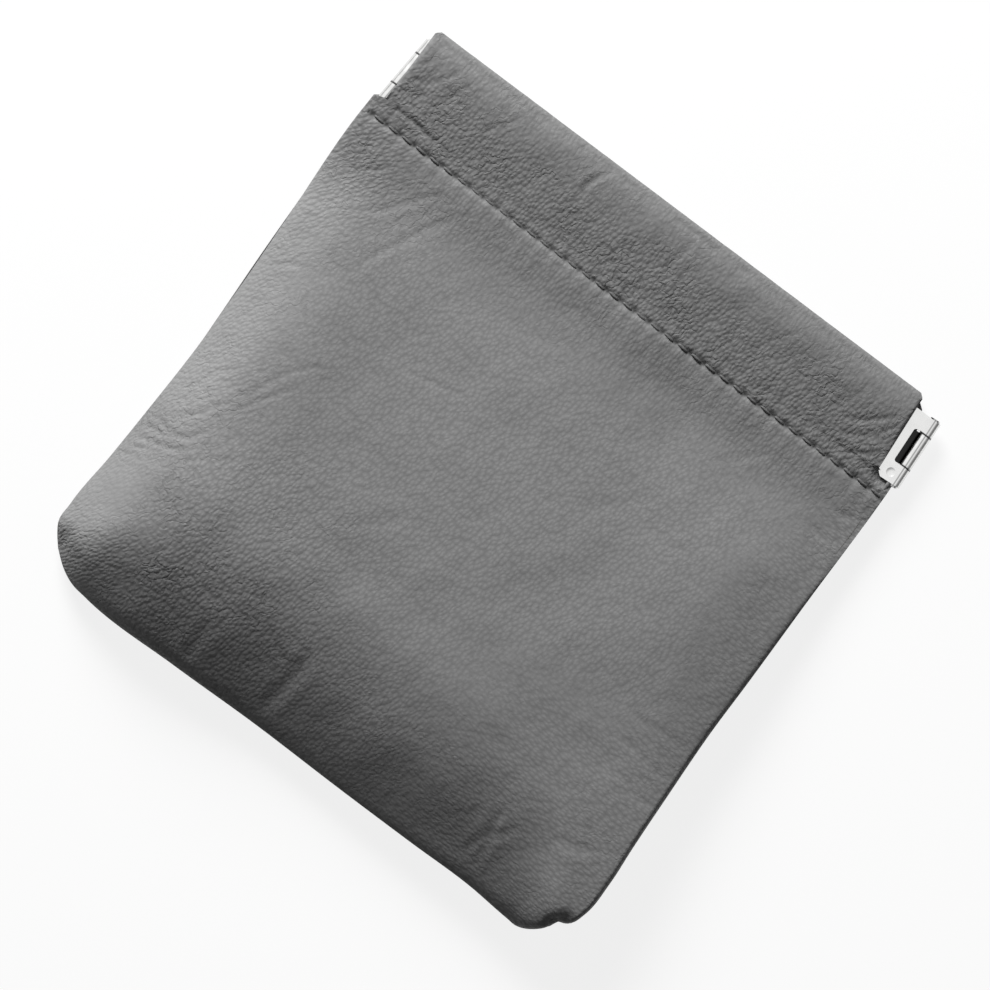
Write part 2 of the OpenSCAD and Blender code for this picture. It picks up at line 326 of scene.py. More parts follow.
frontCreases = [
    # in the channel
    ([(-12.2, 44.2), (-13.4, 42.2), (-14.2, 40.6), (-14.0, 38.2)], 0.14, 0.42),
    ([(-26.0, 43.4), (-27.6, 40.2), (-30.2, 37.0)], 0.08, 0.4),
    ([(-33.6, 43.8), (-35.0, 41.0), (-36.0, 38.0), (-37.0, 35.0)], 0.10, 0.36),
    ([(-36.2, 43.6), (-37.8, 40.4), (-39.6, 38.0), (-41.4, 36.4)], 0.12, 0.36),
    ([(-39.4, 41.8), (-39.8, 38.8), (-41.2, 37.4), (-42.6, 37.0)], 0.11, 0.34),
    ([(-40.6, 42.2), (-41.4, 40.2), (-42.6, 38.9)], 0.09, 0.34),
    ([(-38.6, 36.4), (-40.4, 36.0), (-42.6, 34.9)], 0.10, 0.34),
    ([(2.4, 43.5), (1.2, 39.6), (1.4, 36.2)], 0.07, 0.4),
    ([(21.4, 42.6), (18.2, 38.2), (16.8, 35.6)], 0.07, 0.4),
    ([(-42.6, 33.6), (-41.0, 32.9), (-38.6, 33.1), (-36.4, 32.8), (-33.0, 32.6)], 0.12, 0.38),
    ([(38.9, 41.3), (36.6, 39.0), (33.8, 36.6), (31.0, 35.6)], 0.12, 0.38),
    ([(39.3, 40.2), (37.6, 37.6), (35.6, 35.6)], 0.10, 0.34),
    ([(39.8, 37.9), (36.6, 35.8), (32.6, 33.9)], 0.12, 0.36),
    ([(40.2, 35.6), (37.8, 33.9), (34.8, 32.3)], 0.10, 0.34),
    # fanning out from the left end of the stitch row
    ([(-28.2, 28.8), (-31.2, 25.0), (-34.2, 20.8), (-37.6, 18.4)], 0.10, 0.5),
    ([(-24.0, 28.4), (-28.0, 22.4), (-31.0, 16.0), (-33.0, 10.0)], 0.08, 0.6),
    ([(-36.4, 26.6), (-39.4, 23.6), (-42.0, 22.6)], 0.08, 0.45),
    # mid left swirl and the soft folds of the face
    ([(-28.5, 12.0), (-25.6, 8.6), (-22.4, 5.4)], 0.06, 0.6),
    ([(-19.5, 5.4), (-16.5, 6.0), (-14.0, 6.5), (-11.5, 7.0), (-9.0, 8.8)], 0.05, 0.45),
    ([(-36.0, -13.6), (-33.0, -8.8), (-31.0, -4.5), (-28.5, -1.5), (-26.0, 0.4)], 0.09, 0.4),
    ([(-34.4, -14.0), (-32.0, -10.0), (-30.0, -7.0), (-28.0, -4.4)], 0.08, 0.38),
    ([(-42.4, 5.2), (-40.5, 7.0), (-39.0, 8.0), (-37.2, 8.2)], 0.09, 0.38),
    ([(-36.6, -23.4), (-32.5, -20.0), (-29.0, -17.6)], 0.08, 0.4),
    ([(-14.4, -17.4), (-9.8, -13.2), (-5.2, -9.0)], 0.05, 0.9),
    ([(-1.8, -7.2), (2.4, -3.0), (5.4, 2.2)], 0.03, 0.9),
    ([(9.8, 3.6), (15.2, 8.8), (20.2, 14.4)], 0.03, 0.9),
    ([(20.4, 19.4), (25.4, 24.2), (28.4, 27.2)], 0.04, 0.7),
    # cluster at the lower left edge
    ([(-42.4, -18.6), (-40.6, -19.8), (-38.5, -20.0), (-36.5, -19.5), (-35.0, -17.0), (-34.6, -15.4)],
     0.17, 0.38),
    ([(-43.4, -23.8), (-41.5, -23.0), (-39.5, -22.5), (-36.5, -21.5), (-35.0, -19.4)], 0.16, 0.36),
    ([(-42.6, -25.0), (-40.5, -24.0), (-38.8, -23.0)], 0.12, 0.34),
    ([(-40.4, -18.8), (-38.0, -16.5), (-37.0, -15.5), (-36.0, -13.5), (-34.4, -11.8)], 0.15, 0.38),
    ([(-43.2, -21.8), (-41.0, -21.0), (-39.4, -20.9), (-37.8, -20.8)], 0.13, 0.34),
    ([(-43.4, -27.2), (-42.0, -26.0), (-40.4, -24.8)], 0.10, 0.36),
    ([(-43.2, -15.4), (-40.6, -13.6), (-38.4, -9.6), (-35.6, -6.6)], 0.08, 0.4),
    # ripples at the lower right edge
    ([(44.0, -13.0), (39.6, -12.4), (34.6, -13.0), (30.4, -12.0)], 0.07, 0.6),
    ([(44.0, -16.8), (40.2, -17.4), (36.4, -16.4), (32.0, -16.8)], 0.07, 0.6),
    ([(44.0, -21.0), (40.6, -21.6), (37.2, -20.4), (34.2, -20.8)], 0.07, 0.55),
    ([(43.4, 26.4), (39.2, 25.2), (35.4, 25.8)], 0.08, 0.5),
    ([(43.4, 22.0), (39.4, 21.4), (36.0, 22.2)], 0.07, 0.5),
    # short folds that run up from the bottom
    ([(-5.6, -31.4), (-6.0, -36.0), (-6.8, -44.0)], 0.17, 1.1),
    ([(-13.6, -31.8), (-10.2, -34.4), (-7.2, -35.8)], 0.08, 0.5),
    ([(27.2, -32.6), (27.4, -36.4), (26.4, -42.6)], 0.13, 0.8),
    ([(30.4, -34.0), (28.2, -37.4), (28.6, -42.8)], 0.12, 0.7),
    ([(-19.6, -36.6), (-19.0, -40.4), (-19.4, -44.6)], 0.12, 0.9),
    ([(40.6, -30.4), (37.4, -32.0), (33.8, -32.6)], 0.08, 0.8),
]

backCreases = [
    ([(-20.0, 12.0), (-8.0, 4.0), (6.0, 0.0)], 0.06, 1.2),
    ([(8.0, -18.0), (16.0, -26.0), (22.0, -38.0)], 0.08, 1.2),
]


def stitchRelief(x, y):
    # the pulled-down stitch line, its holes, and the puckers on both sides of it
    below = stitchY - y
    fromHole = x / leather["pitch"] + 0.5 - np.round(x / leather["pitch"] + 0.5)
    groove = np.exp(-(below / leather["holeWidth"]) ** 2)
    hole = np.exp(-(fromHole * leather["pitch"] / leather["holeWidth"]) ** 2) * groove
    swell = leather["swellHeight"] * np.exp(-((np.abs(below) - 1.0) / 0.6) ** 2)
    fade = np.exp(-np.abs(below) / np.where(below > 0, *leather["puckerReach"]))
    pucker = leather["puckerHeight"] * np.cos(2 * math.pi * fromHole) * fade * (1 - groove)
    return swell - pucker - leather["grooveDepth"] * groove - leather["holeDepth"] * hole


def frontFace(nominal, x, y, bottom, left, right):
    # height of the face, how far it has risen from the bottom fold, and from its two sides
    seamTop = mouthZ + 1.1
    face = seamTop + (frontPanel[1][2] - seamTop) * smoothCurve(leather["frontSwell"])(nominal)
    # both ends of the bottom fold are blunter than its middle
    low = rollOver(y - bottom, wide=smoothCurve(leather["rollWidth"])(x),
                   narrow=2.2 - 1.1 * smoothStep(36, 42, x), soft=smoothCurve(leather["rollSoftness"])(x))
    rightRoll = rollOver(right - x, wide=16, narrow=0.8, soft=0.04 + 0.48 * smoothStep(-36, -4, nominal))
    # the left side rolls over more widely towards the bottom
    lift = smoothStep(40, -10, nominal)
    leftRoll = rollOver(x - left, wide=4 + 13 * lift, narrow=1.3 + 1.4 * lift, soft=0.86 * np.sqrt(lift))
    return face, low, leftRoll * rightRoll


def backFace(nominal, x, y, bottom, left, right):
    face = backPanel[0][2] + 0.7 * smoothStep(16, hemY, nominal)
    lift = smoothStep(30, -16, nominal)
    sides = quarter((x - left) / (1.3 + 2.9 * lift)) * quarter((right - x) / (1.3 + 4.2 * lift))
    return face, quarter((y - bottom) / 6.0), sides


def bagSheet(side):
    # side is 1 for the front and -1 for the back. Returns the grain face as a grid, in millimetres
    rowY, rowTurn = sheetRows()
    share, edgeTurn = sheetColumns()
    nominal, turn = rowY[:, None] + share * 0, rowTurn[:, None] + share * 0
    left, right = sideEdges(nominal) if side > 0 else backEdges(nominal)
    x = left + (right - left) * share
    bottom = smoothCurve(leather["bottomEdge"])(x)
    fade = np.clip(1 - (nominal - leather["cornerY"]) / 22, 0, 1) ** 2
    y = nominal + (bottom - leather["cornerY"]) * fade
    channel = smoothStep(leather["shoulderY"] - 0.6, leather["shoulderY"] + 0.3, nominal)

    # turned edge: a small roll down to the seam, gone at the bottom corners, only a cut edge on the channel
    roll = leather["seamFold"] * smoothStep(leather["cornerY"], leather["cornerY"] + 18, nominal)
    roll = roll + (leather["cutRoll"] - roll) * channel
    seam = seamHeight(nominal, share) * (1 - channel) + (mouthZ + side * leather["channelEnds"]) * channel
    edge = seam + side * roll

    # the face swells out of its edges, and towards the top it becomes the channel
    makeFace = frontFace if side > 0 else backFace
    face, low, sides = makeFace(nominal, x, y, bottom, left, right)
    toChannel = smoothStep(hemY - 1.5, stitchY + 0.9, nominal)
    face = face * (1 - toChannel) + (mouthZ + side * channelProfile(nominal, side)) * toChannel
    cutEnds = quarter((x - left) / 0.55) * quarter((right - x) / 0.55)
    z = edge + (face - edge) * (sides * (1 - channel) + cutEnds * channel) * low

    # under the right hinge plate the shoulder dips so that the plate lies on it
    plate = smoothStep(39.4, 41.4, x) * smoothStep(31.0, 32.9, nominal)
    plate = plate * (nominal <= leather["shoulderY"] + 0.2)
    if side > 0:
        z = z + (np.minimum(z, mouthZ + leather["underPlate"]) - z) * plate

    # top fold and hem
    radius = foldRadius()
    turned = turn > 0
    y = np.where(turned, nominal + radius * np.sin(turn), y)
    z = np.where(turned, mouthZ + side * (leather["hemLift"] + radius + radius * np.cos(turn)), z)

    # both ends of the top fold are rounded off
    inset = leather["foldInset"] * smoothStep(topY - 1.0, topY, y) ** 2
    x = x + inset * (np.exp(np.minimum(left - x, 0)) - np.exp(np.minimum(x - right, 0)))

    # turned side edge
    outwards = np.where(edgeTurn < 0, 1, -1)
    x = np.where(edgeTurn != 0, x - outwards * roll * (1 - np.cos(edgeTurn)), x)
    sunk = roll * np.sin(np.abs(edgeTurn)) * (edgeTurn != 0)
    y = y - sunk * np.sin(turn)
    z = z - side * sunk * np.cos(turn)

    grid = np.stack([x, y, z], -1)
    if side > 0:
        # the right end of the bottom fold is tucked in where the seam ends
        tuck = spots(x, y, [(1, *leather["tuck"])])[0]
        grid = grid + tuck[..., None] * np.array(leather["tuckPush"])
    onHem = turn > 3.14
    path = np.where(turned, nominal + radius * turn + 2 * (topY - radius - nominal) * onHem, y)
    return {"grid": grid, "flat": np.stack([x, path, path * 0 + side * 50], -1), "nominal": nominal,
            "turned": turned, "fromEdge": np.minimum(x - left, right - x), "channel": channel, "plate": plate,
            "fromBottom": y - bottom, "side": side}


def gridNormals(grid):
    along, across = np.gradient(grid, axis=1), np.gradient(grid, axis=0)
    normals = np.cross(along, across)
    return normals / np.maximum(np.linalg.norm(normals, axis=-1, keepdims=True), 1e-9)


def reliefOf(sheet):
    # height of wrinkles and folds over the smooth sheet, in millimetres
    flat, side = sheet["flat"], sheet["side"]
    x, y = flat[..., 0], flat[..., 1]
    points = np.stack([x.ravel(), y.ravel(), x.ravel() * 0 + side * 40], 1)

    def uneven(name, shrink, octaves):
        # shrink is along y: below 1 it draws the noise out towards the mouth
        size, height = leather[name]
        return height * noiseAt(points * (1, shrink, 1), size, octaves).reshape(x.shape)

    inChannel = smoothStep(stitchY - 0.5, stitchY + 1, y)
    face = uneven("broadFolds", 1, 2) * (1 - inChannel) * smoothStep(0, 12, sheet["fromEdge"])
    face = face + uneven("softWrinkles", 1.15, 3) + uneven("channelWrinkles", 0.33, 2) * inChannel
    if side > 0:
        face = face + sum(spots(x, y, leather["bumps"]))
        face = face + spots(x, y, [leather["bumpUnderStitches"]])[0] * (1 - inChannel)
    creases = creaseDepth(x, y, frontCreases if side > 0 else backCreases)
    relief = face + creases + stitchRelief(x, y) * (np.abs(x) < 44)
    calm = smoothStep(0, 1.6, sheet["fromEdge"]) * smoothStep(0, 3.0, sheet["fromBottom"])
    relief = relief * calm * (1 - sheet["plate"])
    return np.where(sheet["turned"], relief * 0.25 * (y < topY + 1.5), relief)


def sheetThickness(sheet):
    # full on the panel, skived on the hem, thin where the channel's cut edge is rounded
    y = sheet["flat"][..., 1]
    over = np.abs(sheet["grid"][..., 2] - mouthZ)
    full = np.minimum(leather["thickness"], np.where(y > stitchY + 1.5, np.maximum(over - 0.96, 0.4), 9))
    hem = smoothStep(topY - 0.9, topY + 1.2, y)
    thick = full + (leather["hemThickness"] - full) * hem
    cut = 1 - (1 - smoothStep(0, 0.7, sheet["fromEdge"])) * sheet["channel"]
    # thin at the two bottom corners, where the turned edge runs into the fold
    toCorner = np.hypot(np.abs(sheet["flat"][..., 0]) - 42, y - leather["cornerY"])
    return np.maximum(thick * cut * smoothStep(0.2, 3.5, toCorner), 0.04)


def coarser(count, step):
    # every step-th line, always with the last one
    picked = list(range(0, count, step))
    return picked if picked[-1] == count - 1 else picked + [count - 1]


def shellMesh(name, outer, inner, flip, step=2):
    # closes a grain face and the flesh face behind it, which has fewer points, into one shell.
    # material 0 is the grain face, 1 the flesh face and 2 the rim between them
    rows, cols = outer.shape[:2]
    pickRows, pickCols = coarser(rows, step), coarser(cols, step)
    inside = inner[np.ix_(pickRows, pickCols)]
    a = np.arange(rows * cols).reshape(rows, cols)
    b = rows * cols + np.arange(inside.shape[0] * inside.shape[1]).reshape(inside.shape[:2])
    faces = []
    for grid, turned in ((a, flip), (b, not flip)):
        quads = np.stack([grid[:-1, :-1], grid[:-1, 1:], grid[1:, 1:], grid[1:, :-1]], -1).reshape(-1, 4)
        faces.append(quads[:, ::-1] if turned else quads)
    grainCount, fleshCount = len(faces[0]), len(faces[1])
    faceList = np.concatenate(faces).tolist()
    rims = [(a[0], b[0], pickCols, True), (a[-1], b[-1], pickCols, False),
            (a[:, -1], b[:, -1], pickRows, True), (a[:, 0], b[:, 0], pickRows, False)]
    for line, own, picked, forward in rims:
        for k, (low, high) in enumerate(zip(picked, picked[1:])):
            rim = [*line[low:high + 1].tolist(), int(own[k + 1]), int(own[k])]
            faceList.append(rim if forward == flip else rim[::-1])
    mesh = bpy.data.meshes.new(name)
    points = np.concatenate([outer.reshape(-1, 3), inside.reshape(-1, 3)]) * mm
    mesh.from_pydata(points.tolist(), [], faceList)
    index = np.full(len(faceList), 2)
    index[:grainCount + fleshCount] = 1
    index[:grainCount] = 0
    mesh.polygons.foreach_set("material_index", index)
    mesh.polygons.foreach_set("use_smooth", np.ones(len(faceList), bool))
    return mesh, (pickRows, pickCols)


def cutPattern(grid):
    # width, length and area of the leather before it was folded, measured along the smooth sheet, in metres
    across = np.linalg.norm(np.diff(grid, axis=1), axis=-1).sum(1)
    along = np.linalg.norm(np.diff(grid, axis=0), axis=-1).sum(0)
    diagonals = np.cross(grid[1:, 1:] - grid[:-1, :-1], grid[1:, :-1] - grid[:-1, 1:])
    return across.max() * mm, along.max() * mm, np.linalg.norm(diagonals, axis=-1).sum() / 2 * mm * mm


def pieceFrom(name, mesh, materials):
    piece = bpy.data.objects.new(name, mesh)
    bpy.context.scene.collection.objects.link(piece)
    for material in materials:
        mesh.materials.append(material)
    return piece


# how the soft pieces follow the frame
segments = ["left_end", "left", "middle", "right", "right_end"]
bodyNames = [n for n in frame["bodies"] if n != "front_panel"]
bendEase = 7.0       # half the width over which the leather takes up a bend


def followWeights(x, y, side, seamShare):
    # share of each body in the motion of a point. seamShare is 0.5 on a side seam, which both sides carry
    lift = np.clip((y + 40) / (hemY + 40), 0, 1)
    lift = 0.5 * lift + 0.5 * lift * lift * (3 - 2 * lift)
    offset = (y - hingeY) * math.tan(lean)
    bends = [bend - math.copysign(1, bend) * offset for bend in (-bendOut, -bendIn, bendIn, bendOut)]
    passed = [1, *[smoothStep(bend - bendEase, bend + bendEase, x) for bend in bends], 0]
    share = [before - after for before, after in zip(passed, passed[1:])]
    weights = {name: np.zeros(np.shape(x)) for name in bodyNames}
    for own, part in (("front", side), ("back", -side)):
        mine = (1 - seamShare if part > 0 else seamShare) * lift
        for place, amount in zip(segments, share):
            body = "root" if (own, place) == ("back", "middle") else f"{own}_{place}"
            weights[body] = weights[body] + amount * mine
    weights["root"] = weights["root"] + 1 - lift
    return weights


def sharedAtSeam(fromEdge, y):
    # how much of the other side's motion a sheet takes up near the side seam, which ends below the hinge
    return 0.5 * (1 - smoothStep(0, 5, fromEdge)) * (1 - smoothStep(30.2, 32.5, y))


def followTree():
    # geometry nodes: each point goes to the weighted mean of where its bodies carry it
    tree = bpy.data.node_groups.new("follow the frame", "GeometryNodeTree")
    for direction in ("INPUT", "OUTPUT"):
        tree.interface.new_socket("Geometry", in_out=direction, socket_type="NodeSocketGeometry")
    start, end = addNode(tree, "NodeGroupInput"), addNode(tree, "NodeGroupOutput")
    rest = addNode(tree, "GeometryNodeInputNamedAttribute", {"Name": "restPlace"}, data_type="FLOAT_VECTOR")
    total = None
    for name in bodyNames:
        share = addNode(tree, "GeometryNodeInputNamedAttribute", {"Name": "share " + name}, data_type="FLOAT")
        info = addNode(tree, "GeometryNodeObjectInfo", {"Object": frame["bodies"][name]},
                       transform_space="RELATIVE")
        carried = addNode(tree, "FunctionNodeTransformPoint",
                          {"Vector": rest.outputs["Attribute"], "Transform": info.outputs["Transform"]})
        part = addNode(tree, "VectorMath", {0: carried, "Scale": share.outputs["Attribute"]},
                       operation="SCALE")
        total = part if total is None else addNode(tree, "VectorMath", {0: total, 1: part},
                                                   operation="ADD")
    moved = addNode(tree, "GeometryNodeSetPosition", {"Geometry": start, "Position": total})
    tree.links.new(moved.outputs[0], end.inputs[0])
    return tree


followGroup = followTree()


def setAttribute(mesh, name, kind, values):
    values = np.ascontiguousarray(values, np.float32)
    attribute = mesh.attributes.new(name, kind, "POINT")
    attribute.data.foreach_set("vector" if kind == "FLOAT_VECTOR" else "value", values.ravel())


def followFrame(piece, weights):
    mesh = piece.data
    places = np.empty(len(mesh.vertices) * 3, np.float32)
    mesh.vertices.foreach_get("co", places)
    setAttribute(mesh, "restPlace", "FLOAT_VECTOR", places)
    for name, share in weights.items():
        if np.any(share > 0):
            setAttribute(mesh, "share " + name, "FLOAT", share)
    piece.modifiers.new("follow the frame", "NODES").node_group = followGroup


def sheetPiece(name, side, materials):
    sheet = bagSheet(side)
    grid, relief = sheet["grid"], reliefOf(sheet)
    normals = gridNormals(grid) * side
    outer = grid + normals * relief[..., None]
    if side < 0:
        outer[..., 2] = np.maximum(outer[..., 2], 0)
    # the flesh side follows the wrinkles only half as far
    soft = grid + normals * np.clip(relief, -0.3, 0.3)[..., None] * 0.5
    inner = soft - normals * sheetThickness(sheet)[..., None]
    mesh, picked = shellMesh(name, outer, inner, side < 0)

    def onBoth(values):
        # one value for each point of the grain face, then for each of the flesh face
        size = values.shape[2:]
        return np.concatenate([values.reshape(-1, *size), values[np.ix_(*picked)].reshape(-1, *size)])

    piece = pieceFrom(name, mesh, materials)
    seamShare = np.where(sheet["turned"], 0, sharedAtSeam(sheet["fromEdge"], sheet["nominal"]))
    followFrame(piece, followWeights(onBoth(grid[..., 0]), onBoth(sheet["nominal"]), side, onBoth(seamShare)))
    setAttribute(mesh, "flatPlace", "FLOAT_VECTOR", onBoth(grainPlace(sheet)))
    flat = onBoth(sheet["flat"])
    for mask, value in grainMasks(flat[:, 0], flat[:, 1], side).items():
        setAttribute(mesh, mask, "FLOAT", value)
    return piece, cutPattern(grid)


def grainPlace(sheet):
    # where each point of the sheet was on the flat leather: lengths along the surface from its middle
    grid = sheet["grid"]
    across, along = np.zeros(grid.shape[:2]), np.zeros(grid.shape[:2])
    across[:, 1:] = np.cumsum(np.linalg.norm(np.diff(grid, axis=1)[..., [0, 2]], axis=-1), axis=1)
    along[1:] = np.cumsum(np.linalg.norm(np.diff(grid, axis=0)[..., 1:], axis=-1), axis=0)
    row = np.argmin(np.abs(grid[:, 0, 1] * (1 - sheet["turned"][:, 0]) + 99 * sheet["turned"][:, 0]))
    col = grid.shape[1] // 2
    across = across - across[:, col:col + 1] + grid[:, col:col + 1, 0]
    along = along - along[row] + grid[row, :, 1]
    return np.stack([across, along, across * 0 + sheet["side"] * 50], -1)


# where the leather looks different from its even face, in millimetres on the flat leather
zones = {
    # where each begins and where it is full: along x for the sides, along y for bands, both for corners
    "leftSide": (-26, -42),
    "rightSide": (30, 40),
    "lowLeft": ((2, -24), (-6, -20)),
    "lowRight": ((4, 26), (-10, -20)),
    "bottom": (-20, -34),
    "belowStitch": (16, 3),  # down from the stitches
    "topFold": (37.5, 42.5),
    # how coarse the grain is there, on top of the even face
    "even": 0.12,
    "coarse": {"channel": 0.78, "topFold": -0.42, "leftSide": 0.62, "lowLeft": 0.45, "belowStitch": 0.25,
               "bottom": 0.25, "rightSide": 0.12},
    # patches: amount, middle x and y, half width, half height
    "calm": [(1, -40, -31, 4, 5), (0.6, 34, -36, 9, 9)],
    "wrinkled": [(1, -39.5, -20.5, 5, 4.5), (0.6, -31, 22, 6, 6)],
    "wrinkledChannel": 0.5,
    # painted shade in the corner's tuck and in the stitch holes
    "tuckShade": (1, 42.1, -41.5, 1.0, 0.9),
    "holeShade": 0.75,
    "holeShadeSize": (0.42, 0.36),
    "paintedLight": 0.72,          # painted light along the left edge
}


def grainMasks(x, y, side):
    # where the grain is drawn out (slanting, across or upright), coarse or wrinkled, where shade is painted
    # dark and where light is painted pale
    fromLeft = x - smoothCurve(leather["leftSide"])(y)
    inChannel = smoothStep(stitchY - 0.3, stitchY + 0.5, y)
    onPanel = 1 - inChannel
    topFold = smoothStep(*zones["topFold"], y)
    belowStitch = smoothStep(*zones["belowStitch"], stitchY - y) * onPanel
    # both sides' borders waver
    leftSide = smoothStep(*zones["leftSide"], x + 3.0 * np.sin(y / 5)) * onPanel
    rightSide = smoothStep(*zones["rightSide"], x + 2.5 * np.sin(y / 6))
    lowLeft, lowRight = [smoothStep(*alongX, x) * smoothStep(*alongY, y)
                         for alongX, alongY in (zones["lowLeft"], zones["lowRight"])]
    across = np.clip(rightSide + lowRight, 0, 1) * onPanel
    upright = np.clip(belowStitch * (1 - across) * (1 - leftSide) + 0.5 * smoothStep(36, 42, y), 0, 1)

    layers = {"channel": inChannel, "topFold": topFold * inChannel, "leftSide": leftSide, "lowLeft": lowLeft,
              "belowStitch": belowStitch, "bottom": smoothStep(*zones["bottom"], y),
              "rightSide": rightSide * onPanel}
    coarse = zones["even"] + sum(zones["coarse"][name] * layer for name, layer in layers.items())
    coarse = np.clip(coarse, 0, 1) * (1 - 0.85 * np.max(spots(x, y, zones["calm"]), 0))
    loose = zones["wrinkledChannel"] * inChannel * smoothStep(26, 38, x) * (1 - topFold)
    wrinkled = sum(spots(x, y, zones["wrinkled"])) + loose

    # painted shade: in the tuck at the right end of the front's bottom fold, and along the back's left edge
    # at the waist
    if side > 0:
        paintedShade = spots(x, y, [zones["tuckShade"]])[0]
    else:
        paintedShade = smoothStep(0.8, 0.1, fromLeft) * smoothStep(-4, 4, y) * smoothStep(30, 22, y)
    # painted shade in each stitch hole
    toHole = ((x / leather["pitch"]) % 1 - 0.5) * leather["pitch"]
    hole = spots(toHole, y, [(zones["holeShade"], 0, stitchY, *zones["holeShadeSize"])])[0]
    # painted light along the front's left edge, weaker around y = -21
    paintedLight = zones["paintedLight"] * smoothStep(10, 3.5, fromLeft) * smoothStep(26, 16, y) * (side > 0)
    paintedLight = paintedLight * (1 - spots(0, y, [(0.6, 0, -21, 1, 5)])[0])
    return {"slant": leftSide, "across": across, "upright": upright, "coarse": coarse,
            "paintedShade": np.maximum(paintedShade, hole), "paintedLight": paintedLight, "wrinkled": np.clip(wrinkled, 0, 1)}


# materials. Widths, depths and gaps are in millimetres
leatherLook = {
    "grain": "#7e7e7e",
    # the tone of valleys and creases: darker dye, with painted shade
    "valley": "#656565",
    "paintedLight": "#8a8a8a",     # painted light along the left edge
    "paintedShade": "#1c1c1c",      # painted shade in stitch holes, in the corner's tuck and on the back's left edge
    "flesh": ("#4e4d4c", "#626160"),
    "cut": ("#3a3938", "#4a4948"),
    "roughness": 0.62,
    "cell": 0.62,            # width of a pebble
    "softWidth": 0.909,      # of the soft unevenness that runs across the pebbles
    "stray": 0.35,           # how far the pebbles stray from an even pattern
    "strayWidth": 1.818,
    # direction of the pull in degrees from the mouth line, and how far it draws the pebbles out
    "pull": {"even": (78, 1.25), "slant": (56, 1.4), "across": (-8, 1.5), "upright": (86, 1.45)},
    "fineDepth": 0.026,      # of the grain where the leather is drawn smooth
    "coarseDepth": 0.085,    # and where it is loose
    "creaseDepth": 0.045,
    "creaseGap": 2,          # between fine creases
    "creaseAngle": 52,
    "creaseWander": 3.0,
    "patchWidth": 6.25,      # of the patches where they show
    "poreWidth": 0.3125,     # real pores are finer: as coarse as they need to be to show
    "poreDepth": 0.011,
    "cloudWidth": 14.29,     # of the uneven dye
    "napWidth": 0.4167,
    "napPatch": 5,
    "fibreWidth": 0.3333,    # on the cut edge: tufts of fibres, as coarse as they need to be to show
}


def pebbles(tree, place, centred, angle, stretch):
    # height of pebbles that are drawn out along the pull
    look = leatherLook
    pushed = addNode(tree, "VectorMath", {0: centred, 1: (look["stray"], look["stray"], 0), 2: place},
                     operation="MULTIPLY_ADD")
    drawn = addNode(tree, "Mapping", {"Vector": pushed, "Rotation": (0, 0, math.radians(angle)),
                                      "Scale": (stretch, 1 / math.sqrt(stretch), 1)},
                    vector_type="TEXTURE")
    cells = addNode(tree, "TexVoronoi", {"Vector": drawn, "Scale": 1 / look["cell"], "Smoothness": 0.25,
                                         "Randomness": 0.85},
                    voronoi_dimensions="2D", feature="SMOOTH_F1")
    domes = addNode(tree, "MapRange", {"Value": cells, "From Max": 0.8, "To Min": 1.0, "To Max": 0.0})
    softer = addNode(tree, "TexNoise", {"Vector": drawn, "Scale": 1 / look["softWidth"], "Detail": 1.0},
                     noise_dimensions="2D")
    return addNode(tree, "Math", {0: softer, 1: 0.4, 2: domes}, operation="MULTIPLY_ADD")


def looseCreases(tree, place, centred, coarse, wrinkled):
    # longer fine creases that cross the pebbles where the leather is loose: 0 along them and 1 elsewhere
    look = leatherLook
    wander = addNode(tree, "VectorMath",
                     {0: centred, 1: (look["creaseWander"], look["creaseWander"], 0), 2: place},
                     operation="MULTIPLY_ADD")
    slanted = addNode(tree, "Mapping",
                      {"Vector": wander, "Rotation": (0, 0, math.radians(look["creaseAngle"])),
                       "Scale": (1.5, 0.6, 1)}, vector_type="TEXTURE")
    cells = addNode(tree, "TexVoronoi", {"Vector": slanted, "Scale": 1 / look["creaseGap"]},
                    voronoi_dimensions="2D", feature="DISTANCE_TO_EDGE")
    line = addNode(tree, "MapRange", {"Value": cells, "From Max": 0.16}, interpolation_type="SMOOTHSTEP")
    patchy = addNode(tree, "TexNoise", {"Vector": place, "Scale": 1 / look["patchWidth"], "Detail": 2.0},
                     noise_dimensions="2D")
    strength = addNode(tree, "MapRange", {"Value": patchy, "From Min": 0.4, "From Max": 0.65})
    loose = addNode(tree, "Math", {0: strength, 1: coarse}, operation="MULTIPLY")
    loose = addNode(tree, "Math", {0: loose, 1: wrinkled}, operation="MAXIMUM")
    return addNode(tree, "Mix", {0: loose, 2: 1.0, 3: line}, data_type="FLOAT")


